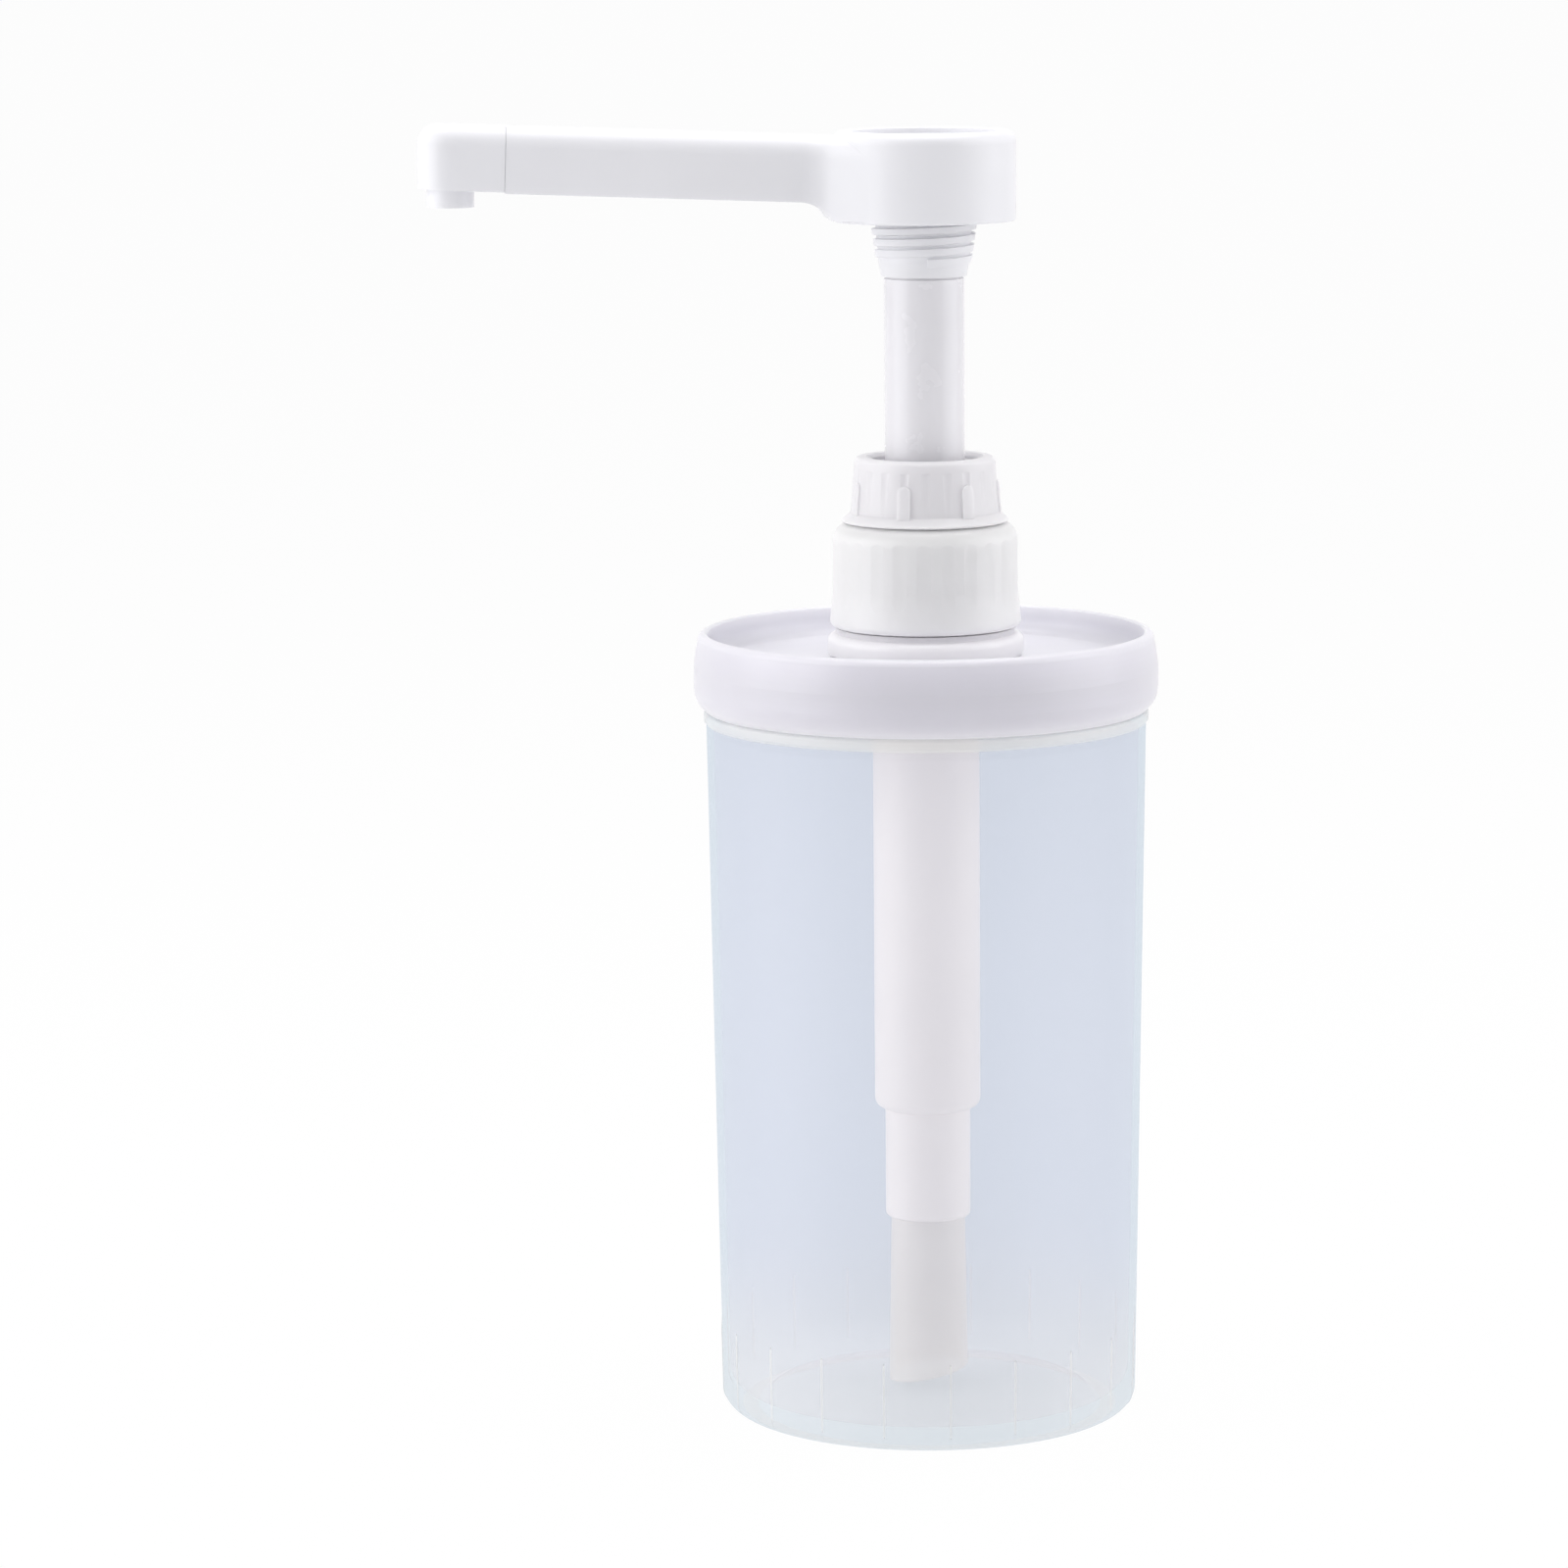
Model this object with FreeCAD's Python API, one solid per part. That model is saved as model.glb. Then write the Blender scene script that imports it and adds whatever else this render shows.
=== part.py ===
import FreeCAD, Part

import math
import os

# Pump dispenser bottle: a screw-topped jar with a long-spout lift pump through its lid.
# Millimetres. The origin is the centre of the jar's base, +Z is up, the spout runs along -X.
# A radius or a height is written once here, and every seat is worked out from it.

# Jar
jar_top_radius = 49.3
jar_base_radius = 47.0
jar_wall = 1.6
jar_body_height = 157.4
jar_corner_radius = 4.4
jar_inner_corner = 4.4
foot_recess = 2.8
foot_width = 3.6
jar_floor = 2.0
shoulder_ring_reach = 0.55
shoulder_ring_height = 2.3
jar_neck_radius = 47.4
jar_neck_wall = 1.8
jar_neck_height = 8.2
base_rib_count = 20
base_rib_width = 0.5
base_rib_reach = 0.14
base_rib_top = 21.0
base_rib_bottom = 1.6
base_rib_angle = -0.6

# Lid and its screw thread on the jar
lid_top_radius = 51.1
lid_belly_radius = 52.0
lid_edge_round = 1.7
lid_side_height = 9.5
lid_side_bow = 0.12
lid_foot_height = 5.0
lid_foot_inset = 2.5
lid_plate = 2.2
lid_recess = 6.3
lid_recess_round = 3.4
lid_rim_wall = 2.2
lid_skirt_gap = 0.4
lid_lead = 4.0
lid_thread_turns = 1.1
lid_thread_depth = 1.4
liner_thickness = 1.0
liner_overhang = 1.2

# Neck fitting that is clamped through the lid
fitting_flange_radius = 21.95
fitting_flange_height = 5.0
fitting_flange_round = 1.9
fitting_bead_radius = 19.95
fitting_gasket = 1.0
fitting_bore_radius = 14.5
neck_core_radius = 17.6
neck_height = 20.3
spigot_core_radius = 16.0
spigot_tail = 1.4
nut_across_flats = 41.0
nut_height = 6.0

# Closure that screws on the neck
closure_lead = 4.2
closure_thread_turns = 1.5
closure_thread_depth = 1.1
closure_wall = 1.4
closure_plate = 1.8
closure_height = 23.4
closure_shoulder = 4.2
closure_band_height = 1.5
closure_band_reach = 0.85
closure_flare_height = 9.0
closure_foot_round = 1.2
closure_flute_foot = 10.0
closure_rib_count = 24
closure_rib_reach = 0.2
closure_flute_depth = 0.11
closure_flute_radius = 26.0
closure_gasket = 1.2

# Pump housing
barrel_radius = 11.95
barrel_bore = 10.5
barrel_length = 129.9
barrel_floor = 1.5
barrel_corner = 2.2
housing_flange = 1.5
housing_flange_radius = 17.4
foot_radius = 9.6
foot_length = 25.1
foot_bore = 7.8
seat_bore = 3.6
seat_web = 3.0
socket_depth = 10.4

# Collar that closes the housing and takes the lock thread
collar_hub_radius = 13.4
collar_skirt_radius = 18.7
collar_flange_height = 2.2
collar_height = 14.5
collar_lower_radius = 16.6
collar_upper_radius = 15.7
collar_top_band = 1.1
collar_top_round = 1.1
collar_groove_count = 21
collar_groove_radius = 3.4
collar_groove_depth = 0.09
collar_groove_start = 0.5
collar_lug_count = 7
collar_lug_angle = 247.1
collar_lug_width = 2.9
collar_lug_reach = 0.45
collar_lug_height = 9.2
collar_sleeve_length = 10.1
collar_floor = 3.3
collar_mouth_chamfer = 0.8

# Stem, head and lock thread
stem_radius = 8.9
stem_groove_height = 0.55
stem_groove_depth = 0.35
stem_bore = 6.9
stem_tail_radius = 6.9
stem_tail_bore = 5.25
stroke = 39.8
lock_skirt_height = 12.2
lock_core_radius = 10.9
lock_core_low_radius = 10.1
lock_core_taper = 3.2
lock_crest_radius = 11.9
lock_crest_low_radius = 10.75
lock_crest_taper = 4.1
lock_tip_radius = 9.5
lock_lead = 2.4
lock_turns = 3.3
lock_thread_start = 3.3
lock_ridge_foot = 2.0
lock_ridge_tip = 1.2
lock_female_turns = 3.2
hub_radius = 20.5
hub_height = 19.9
hub_round = 2.6
hub_wall = 2.3
hub_dish_radius = 16.4
hub_dish_depth = 2.5
hub_dish_edge = 0.3
hub_plate = 2.3
boss_radius = 12.8
stem_socket_depth = 17.1
arm_width = 14.2
arm_height = 14.6
arm_rise_degrees = 2.4
arm_top_drop = 0.9
arm_top_round = 4.4
arm_root_fillet = 10.5
arm_flank_degrees = 38.0
arm_gusset_radius = 8.0
arm_gusset_length = 6.8
arm_channel_radius = 4.4

# Nozzle tip, plugged into the arm
spout_reach = 104.6
tip_length = 12.0
tip_bottom_step = 0.3
seam_groove = 0.2
tip_plug_length = 8.0
tip_bore = 3.2
spout_radius = 5.2
spout_drop = 3.6

# Piston, valves and spring
piston_height = 12.8
piston_hub_radius = 9.3
piston_lip_height = 1.6
retainer_flange = 1.6
retainer_flange_radius = 10.0
retainer_plug_height = 4.4
retainer_bore = 3.0
outlet_ball_radius = 4.0
inlet_ball_radius = 4.8
ball_lift = 2.5
stop_bar_width = 1.4
stop_bar_height = 1.8
cage_flange = 1.2
cage_wall = 1.2
cage_window_width = 4.0
spring_wire_radius = 0.85
spring_radius = 9.0
spring_turns = 16.0

# Dip tube
dip_tube_radius = 8.35
dip_tube_end_radius = 9.05
dip_tube_wall = 1.0
dip_tube_gap = 0.5
dip_tube_slant = 3.6
dip_tube_cut_azimuth = 175.0

# Clearances
thread_clearance = 0.4
flank_clearance = 0.15
running_clearance = 0.1
slip_clearance = 0.05
turning_gap = 0.3
face_gap = 0.1
ball_clearance = 0.15

# Heights, worked out from the base upwards
ring_top = jar_body_height + shoulder_ring_height
jar_rim = ring_top + jar_neck_height
plate_under = jar_rim + liner_thickness
plate_top = plate_under + lid_plate
lid_top = plate_top + lid_recess
lid_bottom = ring_top + lid_skirt_gap
fitting_seat = plate_top + fitting_gasket
fitting_flange_top = fitting_seat + fitting_flange_height
neck_top = fitting_flange_top + neck_height
housing_seat = neck_top + closure_gasket
housing_top = housing_seat + housing_flange
closure_under = housing_top + face_gap
closure_top = closure_under + closure_plate
closure_bottom = closure_top - closure_height
collar_bottom = closure_top + face_gap
collar_top = collar_bottom + collar_height
collar_cavity_floor = housing_top + collar_floor
sleeve_bottom = housing_top - collar_sleeve_length
barrel_bottom = housing_seat - barrel_length
housing_bottom = barrel_bottom - foot_length
lock_bottom = collar_top + turning_gap + stroke
hub_bottom = lock_bottom + lock_skirt_height
hub_top = hub_bottom + hub_height
stem_top = lock_bottom + stem_socket_depth
piston_top = sleeve_bottom - turning_gap
piston_bottom = piston_top - piston_height
retainer_top = piston_bottom - turning_gap
retainer_bottom = retainer_top - retainer_flange
dish_floor = hub_top - hub_dish_depth
cavity_roof = dish_floor - hub_plate

# Radii that follow from the fits
lid_skirt_bore = jar_neck_radius + lid_thread_depth + thread_clearance
neck_crest_radius = neck_core_radius + closure_thread_depth
closure_bore = neck_crest_radius + thread_clearance
closure_valley_radius = closure_bore + closure_wall
closure_crest_radius = closure_valley_radius + closure_rib_reach
closure_opening = collar_hub_radius + thread_clearance
spigot_crest_radius = spigot_core_radius + closure_thread_depth
lock_bore = lock_crest_radius + thread_clearance
stem_socket_bore = stem_radius + slip_clearance
guide_bore = stem_radius + running_clearance
ridge_bite = 0.25
far = 400.0

Z_AXIS = FreeCAD.Vector(0, 0, 1)
ORIGIN = FreeCAD.Vector(0, 0, 0)


def point(radius, height):
    return FreeCAD.Vector(radius, 0, height)


def lathe(start, *steps):
    """Turn a closed outline about Z. A step is an end point, or (middle, end) for an arc."""
    edges = []
    here = point(*start)
    for step in list(steps) + [start]:
        if isinstance(step[0], tuple):
            middle, end = step
            goal = point(*end)
            edges.append(Part.Arc(here, point(*middle), goal).toShape())
        else:
            goal = point(*step)
            if here.distanceToPoint(goal) < 1e-6:
                continue
            edges.append(Part.LineSegment(here, goal).toShape())
        here = goal
    return Part.Face(Part.Wire(edges)).revolve(ORIGIN, Z_AXIS, 360)


def ring(inner, outer, bottom, top):
    """A plain ring, or a disc where the inner radius is 0."""
    return lathe((inner, bottom), (outer, bottom), (outer, top), (inner, top))


def corner_arc(centre_r, centre_z, radius, start_degrees, end_degrees):
    """Middle and end point of a circular corner in an outline, as one lathe step."""
    points = []
    for degrees in ((start_degrees + end_degrees) / 2.0, end_degrees):
        turn = math.radians(degrees)
        points.append((centre_r + radius * math.cos(turn), centre_z + radius * math.sin(turn)))
    return tuple(points)


def spun(shape, degrees):
    copy = shape.copy()
    copy.rotate(ORIGIN, Z_AXIS, degrees)
    return copy


def around(shape, count, first=0.0):
    return [spun(shape, first + 360.0 * n / count) for n in range(count)]


def slab(x_low, x_high, width, bottom, top):
    """A box along X, centred on y = 0."""
    corner = FreeCAD.Vector(x_low, -width / 2.0, bottom)
    return Part.makeBox(x_high - x_low, width, top - bottom, corner)


def ridge_widths(lead, depth):
    """Width of a plain screw ridge at its foot and at its tip."""
    foot = 0.42 * lead
    return foot, foot - 0.7 * depth


def thread_ridge(root, crest, lead, turns, widths, centre_z, start_degrees):
    """A helical ridge from a root radius to a crest radius, for a male or a female thread."""
    foot, tip = widths
    middle = (root + crest) / 2.0
    corners = [point(root, -foot / 2), point(crest, -tip / 2), point(crest, tip / 2), point(root, foot / 2)]
    section = Part.makePolygon(corners + corners[:1])
    helix = Part.Wire(Part.makeHelix(lead, lead * turns, middle).Edges)
    ridge = helix.makePipeShell([section], True, True)
    ridge.rotate(ORIGIN, Z_AXIS, start_degrees)
    ridge.translate(FreeCAD.Vector(0, 0, centre_z))
    return ridge


def flank_shift(lead, depth):
    """How far below a male ridge its female ridge runs, flank to flank."""
    return 0.42 * lead - 0.35 * depth + flank_clearance


def fluted(body, outer, bottom, top):
    """Cut the closure's wide shallow flutes, which leave soft ribs and run out at their foot."""
    foot = point(outer + closure_flute_radius - closure_flute_depth, bottom)
    flute = Part.makeCylinder(closure_flute_radius, top - bottom, foot, Z_AXIS)
    flute = flute.fuse(Part.makeSphere(closure_flute_radius, foot))
    half_pitch = 180.0 / closure_rib_count
    for cutter in around(flute, closure_rib_count, half_pitch):
        body = body.cut(cutter)
    return body


def jar():
    inside_top = jar_top_radius - jar_wall
    inside_base = jar_base_radius - jar_wall
    corner_r = jar_base_radius - jar_corner_radius
    floor_top = foot_recess + jar_floor
    foot_inner = corner_r - foot_width
    ring_radius = jar_top_radius + shoulder_ring_reach
    neck_inside = jar_neck_radius - jar_neck_wall
    shoulder = jar_wall + 1.0
    body = lathe(
        (0, foot_recess),
        (foot_inner - foot_recess, foot_recess),
        (foot_inner, 0),
        (corner_r, 0),
        corner_arc(corner_r, jar_corner_radius, jar_corner_radius, -90, 0),
        (jar_top_radius, jar_body_height - 0.4),
        (ring_radius - 0.3, jar_body_height),
        (ring_radius, jar_body_height + 0.3),
        (ring_radius, ring_top - 0.5),
        corner_arc(ring_radius - 0.5, ring_top - 0.5, 0.5, 0, 90),
        (jar_neck_radius, ring_top),
        (jar_neck_radius, jar_rim - 0.5),
        (jar_neck_radius - 0.5, jar_rim),
        (neck_inside, jar_rim),
        (neck_inside, ring_top - shoulder),
        (inside_top, ring_top - shoulder - (inside_top - neck_inside)),
        (inside_base, floor_top + jar_inner_corner),
        corner_arc(inside_base - jar_inner_corner, floor_top + jar_inner_corner, jar_inner_corner, 0, -90),
        (0, floor_top),
    )
    rib = slab(corner_r, jar_top_radius + base_rib_reach, base_rib_width, base_rib_bottom, base_rib_top)
    lean = (jar_top_radius - jar_base_radius) / (jar_body_height - jar_corner_radius)
    proud = jar_base_radius + base_rib_reach
    envelope = lathe(
        (0, 0),
        (corner_r + base_rib_reach, 0),
        corner_arc(corner_r + base_rib_reach, jar_corner_radius, jar_corner_radius, -90, 0),
        (proud + lean * (base_rib_top - 3.0), base_rib_top - 3.0),
        (jar_base_radius + lean * base_rib_top - 0.05, base_rib_top),
        (0, base_rib_top),
    )
    ribs = Part.makeCompound(around(rib, base_rib_count, base_rib_angle)).common(envelope)
    ribs = ribs.cut(ring(0, jar_base_radius - jar_wall / 2.0, floor_top, base_rib_top + 1.0))
    body = body.fuse(ribs.Solids)
    crest = jar_neck_radius + lid_thread_depth
    ridge = thread_ridge(
        jar_neck_radius - ridge_bite,
        crest,
        lid_lead,
        lid_thread_turns,
        ridge_widths(lid_lead, lid_thread_depth),
        lid_thread_base(),
        0,
    )
    return body.fuse(ridge)


def lid_thread_base():
    """Centre height of the jar's ridge where it starts, so that the ridge ends below the rim."""
    foot = 0.42 * lid_lead
    return jar_rim - 0.9 - foot / 2.0 - lid_lead * lid_thread_turns


def lid_liner():
    inner = jar_neck_radius - jar_neck_wall - liner_overhang
    return ring(inner, lid_skirt_bore - slip_clearance * 2, jar_rim, plate_under)


def lid():
    rim_inside = lid_top_radius - lid_rim_wall
    hole = spigot_crest_radius + running_clearance
    lip_z = lid_top - lid_edge_round
    side_z = lid_bottom + lid_side_height
    bow = ((lid_belly_radius + lid_top_radius) / 2.0 + lid_side_bow, (side_z + lip_z) / 2.0)
    foot_round = (lid_foot_inset**2 + lid_foot_height**2) / (2.0 * lid_foot_inset)
    foot_start = -math.degrees(math.asin(lid_foot_height / foot_round))
    body = lathe(
        (hole, plate_under),
        (lid_skirt_bore, plate_under),
        (lid_skirt_bore, lid_bottom),
        (lid_belly_radius - lid_foot_inset, lid_bottom),
        corner_arc(
            lid_belly_radius - foot_round, lid_bottom + lid_foot_height, foot_round, foot_start, 0
        ),
        (lid_belly_radius, side_z),
        (bow, (lid_top_radius, lip_z)),
        corner_arc(lid_top_radius - lid_edge_round, lip_z, lid_edge_round, 0, 90),
        (rim_inside + 0.4, lid_top),
        (rim_inside, lid_top - 0.4),
        (rim_inside, plate_top + lid_recess_round),
        corner_arc(rim_inside - lid_recess_round, plate_top + lid_recess_round, lid_recess_round, 0, -90),
        (hole, plate_top),
    )
    ridge = thread_ridge(
        lid_skirt_bore + ridge_bite,
        jar_neck_radius + thread_clearance,
        lid_lead,
        lid_thread_turns * 0.8,
        ridge_widths(lid_lead, lid_thread_depth),
        lid_thread_base() - flank_shift(lid_lead, lid_thread_depth) + lid_lead * 0.2,
        72,
    )
    return body.fuse(ridge)


def neck_fitting():
    """Flanged neck: the male pump thread above the lid and a male clamp thread below it."""
    tail_bottom = plate_under - nut_height - spigot_tail
    bead_top = closure_bottom - turning_gap
    flange_arc = corner_arc(
        fitting_flange_radius - fitting_flange_round,
        fitting_flange_top - fitting_flange_round,
        fitting_flange_round,
        0,
        90,
    )
    body = lathe(
        (fitting_bore_radius, tail_bottom),
        (spigot_core_radius - 0.6, tail_bottom),
        (spigot_core_radius, tail_bottom + 0.6),
        (spigot_core_radius, fitting_seat),
        (fitting_flange_radius - 0.6, fitting_seat),
        (fitting_flange_radius, fitting_seat + 0.6),
        (fitting_flange_radius, fitting_flange_top - fitting_flange_round),
        flange_arc,
        (fitting_bead_radius, fitting_flange_top),
        (fitting_bead_radius, bead_top),
        (neck_core_radius, bead_top),
        (neck_core_radius, neck_top - 0.5),
        (neck_core_radius - 0.5, neck_top),
        (fitting_bore_radius, neck_top),
    )
    upper = thread_ridge(
        neck_core_radius - ridge_bite,
        neck_crest_radius,
        closure_lead,
        closure_thread_turns,
        ridge_widths(closure_lead, closure_thread_depth),
        neck_thread_base(),
        0,
    )
    lower = thread_ridge(
        spigot_core_radius - ridge_bite,
        spigot_crest_radius,
        closure_lead,
        nut_height / closure_lead - 0.5,
        ridge_widths(closure_lead, closure_thread_depth),
        plate_under - nut_height + 1.1,
        0,
    )
    return body.fuse([upper, lower])


def neck_thread_base():
    foot = 0.42 * closure_lead
    return neck_top - 1.0 - foot / 2.0 - closure_lead * closure_thread_turns


def fitting_gasket_ring():
    return ring(spigot_core_radius + turning_gap, fitting_flange_radius - 0.5, plate_top, fitting_seat)


def back_nut():
    across = nut_across_flats / math.sqrt(3.0)
    corners = []
    for n in range(7):
        turn = math.radians(60.0 * n)
        corners.append(FreeCAD.Vector(across * math.cos(turn), across * math.sin(turn), plate_under - nut_height))
    blank = Part.Face(Part.makePolygon(corners)).extrude(FreeCAD.Vector(0, 0, nut_height))
    bore = spigot_crest_radius + running_clearance
    blank = blank.cut(ring(0, bore, plate_under - nut_height - 1, plate_under + 1))
    ridge = thread_ridge(
        bore + ridge_bite,
        spigot_core_radius + running_clearance,
        closure_lead,
        nut_height / closure_lead - 0.9,
        ridge_widths(closure_lead, closure_thread_depth - running_clearance),
        plate_under - nut_height + 1.1 - flank_shift(closure_lead, closure_thread_depth) + closure_lead * 0.42,
        151.2,
    )
    return blank.fuse(ridge)


def closure():
    band_radius = closure_valley_radius + closure_band_reach
    shoulder_r = closure_crest_radius - closure_shoulder
    shoulder_z = closure_top - closure_shoulder
    body = lathe(
        (closure_opening, closure_under),
        (closure_bore, closure_under),
        (closure_bore, closure_bottom),
        (band_radius - closure_foot_round, closure_bottom),
        corner_arc(
            band_radius - closure_foot_round, closure_bottom + closure_foot_round, closure_foot_round, -90, 0
        ),
        (band_radius, closure_bottom + closure_band_height),
        (closure_crest_radius, closure_bottom + closure_flare_height),
        (closure_crest_radius, shoulder_z),
        corner_arc(shoulder_r, shoulder_z, closure_shoulder, 0, 90),
        (closure_opening, closure_top),
    )
    body = fluted(body, closure_crest_radius, closure_bottom + closure_flute_foot, closure_top)
    ridge = thread_ridge(
        closure_bore + ridge_bite,
        neck_core_radius + thread_clearance,
        closure_lead,
        closure_thread_turns * 0.8,
        ridge_widths(closure_lead, closure_thread_depth),
        neck_thread_base() - flank_shift(closure_lead, closure_thread_depth) + closure_lead * 0.2,
        72,
    )
    return body.fuse(ridge)


def closure_gasket_ring():
    return ring(barrel_radius + turning_gap, neck_core_radius - turning_gap, neck_top, housing_seat)


def seat_edge():
    """Height of the inlet valve's sharp seat."""
    return housing_bottom + socket_depth + seat_web - 1.4


def housing():
    socket = dip_tube_radius + slip_clearance
    socket_top = housing_bottom + socket_depth
    web_top = socket_top + seat_web
    floor = barrel_bottom + barrel_floor
    return lathe(
        (socket, housing_bottom),
        (foot_radius - 0.8, housing_bottom),
        corner_arc(foot_radius - 0.8, housing_bottom + 0.8, 0.8, -90, 0),
        (foot_radius, barrel_bottom),
        (barrel_radius - barrel_corner, barrel_bottom),
        corner_arc(barrel_radius - barrel_corner, barrel_bottom + barrel_corner, barrel_corner, -90, 0),
        (barrel_radius, housing_seat),
        (housing_flange_radius, housing_seat),
        (housing_flange_radius, housing_top),
        (barrel_bore, housing_top),
        (barrel_bore, floor),
        (foot_bore, floor),
        (foot_bore, web_top),
        (seat_bore + web_top - seat_edge(), web_top),
        (seat_bore, seat_edge()),
        (seat_bore, socket_top),
        (socket, socket_top),
    )


def collar():
    """Collar with a slightly conical, grooved wall, seven lugs and the lock thread inside."""
    sleeve = barrel_bore - running_clearance
    flange_top = collar_bottom + collar_flange_height
    wall_top = collar_top - collar_top_round
    body = lathe(
        (guide_bore, sleeve_bottom),
        (sleeve - 0.5, sleeve_bottom),
        (sleeve, sleeve_bottom + 0.5),
        (sleeve, housing_top),
        (collar_hub_radius, housing_top),
        (collar_hub_radius, collar_bottom),
        (collar_skirt_radius - 0.4, collar_bottom),
        (collar_skirt_radius, collar_bottom + 0.4),
        (collar_skirt_radius - 0.4, collar_bottom + 0.8),
        (collar_lower_radius + 0.3, flange_top - 0.3),
        (collar_lower_radius, flange_top),
        (collar_upper_radius, wall_top),
        corner_arc(collar_upper_radius - collar_top_round, wall_top, collar_top_round, 0, 90),
        (lock_bore + collar_mouth_chamfer, collar_top),
        (lock_bore, collar_top - collar_mouth_chamfer),
        (lock_bore, collar_cavity_floor),
        (guide_bore, collar_cavity_floor),
    )
    axis_shift = collar_groove_radius - collar_groove_depth
    groove_foot = point(collar_lower_radius + axis_shift, flange_top + collar_groove_start)
    groove_head = point(collar_upper_radius + axis_shift, wall_top - collar_top_band)
    along = groove_head - groove_foot
    groove = Part.makeCylinder(collar_groove_radius, along.Length, groove_foot, along)
    for cutter in around(groove, collar_groove_count, collar_lug_angle):
        body = body.cut(cutter)
    lug_radius = collar_lower_radius + collar_lug_reach
    lug_inside = collar_upper_radius - 1.0
    arch = collar_bottom + collar_lug_height - collar_lug_width / 2.0
    lug = slab(lug_inside, lug_radius + 1, collar_lug_width, flange_top - 1.0, arch)
    lug_envelope = lathe(
        (0, flange_top - 1.0),
        (lug_radius, flange_top - 1.0),
        (lug_radius, flange_top),
        (collar_upper_radius + collar_lug_reach, wall_top),
        (0, wall_top),
    )
    across = FreeCAD.Vector(lug_inside, 0, arch)
    crown = Part.makeCylinder(collar_lug_width / 2.0, collar_lug_reach + 3.0, across, FreeCAD.Vector(1, 0, 0))
    lug = lug.fuse(crown).common(lug_envelope)
    body = body.fuse(around(lug, collar_lug_count, collar_lug_angle))
    ridge = thread_ridge(
        lock_bore + ridge_bite,
        lock_core_radius + thread_clearance,
        lock_lead,
        lock_female_turns,
        lock_female_widths(),
        collar_top - 2 * collar_mouth_chamfer - lock_lead * lock_female_turns,
        0,
    )
    return body.fuse(ridge)


def lock_female_widths():
    """The collar's ridge fills the valley of the lock skirt's ridge, less the flank clearance."""
    slope = (lock_ridge_foot - lock_ridge_tip) / (lock_crest_radius - lock_core_radius)
    at_tip = lock_ridge_foot - slope * thread_clearance
    room = lock_lead - 2 * flank_clearance
    return room - lock_ridge_tip, room - at_tip


def outlet_ball_centre():
    drop = math.sqrt(outlet_ball_radius**2 - retainer_bore**2)
    return retainer_top + retainer_plug_height + drop + ball_clearance


def inlet_ball_centre():
    drop = math.sqrt(inlet_ball_radius**2 - seat_bore**2)
    return seat_edge() + drop + ball_clearance


def stem():
    widen = sleeve_bottom + 5.0
    body = lathe(
        (stem_tail_bore, retainer_top),
        (stem_tail_radius, retainer_top),
        (stem_tail_radius, sleeve_bottom),
        (stem_radius, sleeve_bottom),
        (stem_radius, lock_bottom - stem_groove_height),
        (stem_radius - stem_groove_depth, lock_bottom - stem_groove_height + 0.1),
        (stem_radius - stem_groove_depth, lock_bottom + 0.2),
        (stem_radius, lock_bottom + 0.3),
        (stem_radius, stem_top - 0.6),
        (stem_radius - 0.6, stem_top),
        (stem_bore, stem_top),
        (stem_bore, widen + stem_bore - stem_tail_bore),
        (stem_tail_bore, widen),
    )
    stop = outlet_ball_centre() + outlet_ball_radius + ball_lift + ball_clearance
    bar = slab(-stem_tail_bore - 0.5, stem_tail_bore + 0.5, stop_bar_width, stop, stop + stop_bar_height)
    return body.fuse([bar, spun(bar, 90)])


def piston():
    """Soft seal with a lip at each end, loose enough on the stem to let the head swivel."""
    bore = stem_tail_radius + running_clearance
    lip = barrel_bore - slip_clearance
    waist_top = piston_top - piston_lip_height
    waist_bottom = piston_bottom + piston_lip_height
    slope = lip - piston_hub_radius
    return lathe(
        (bore, piston_bottom),
        (lip - 0.4, piston_bottom),
        (lip, piston_bottom + 0.4),
        (lip, waist_bottom),
        (piston_hub_radius, waist_bottom + slope),
        (piston_hub_radius, waist_top - slope),
        (lip, waist_top),
        (lip, piston_top - 0.4),
        (lip - 0.4, piston_top),
        (bore, piston_top),
    )


def piston_retainer():
    """Plug in the stem's end: it holds the piston, takes the spring and seats the outlet ball."""
    plug = stem_tail_bore - slip_clearance
    plug_top = retainer_top + retainer_plug_height
    return lathe(
        (retainer_bore, retainer_bottom),
        (retainer_flange_radius, retainer_bottom),
        (retainer_flange_radius, retainer_top),
        (plug, retainer_top),
        (plug, plug_top),
        (retainer_bore, plug_top),
    )


def ball(radius, height):
    return Part.makeSphere(radius, FreeCAD.Vector(0, 0, height))


def ball_cage():
    """Ring on the barrel's floor with windows and a cross bar that keeps the inlet ball down."""
    floor = barrel_bottom + barrel_floor
    outer = foot_bore - running_clearance
    inner = outer - cage_wall
    stop = inlet_ball_centre() + inlet_ball_radius + ball_lift + ball_clearance
    body = lathe(
        (inner, stop - 2.0),
        (outer, stop - 2.0),
        (outer, floor),
        (barrel_bore - 2 * running_clearance, floor),
        (barrel_bore - 2 * running_clearance, floor + cage_flange),
        (inner, floor + cage_flange),
    )
    window = slab(inner - 1, outer + 1, cage_window_width, stop - 3.0, stop - 0.4)
    body = body.cut(Part.makeCompound(around(window, 4, 45)))
    bar = slab(-inner - 0.5, inner + 0.5, stop_bar_width, stop, stop + stop_bar_height)
    return body.fuse([bar, spun(bar, 90)])


def spring_ends():
    low = barrel_bottom + barrel_floor + cage_flange + face_gap + spring_wire_radius
    high = retainer_bottom - face_gap - spring_wire_radius
    return low, high


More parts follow.
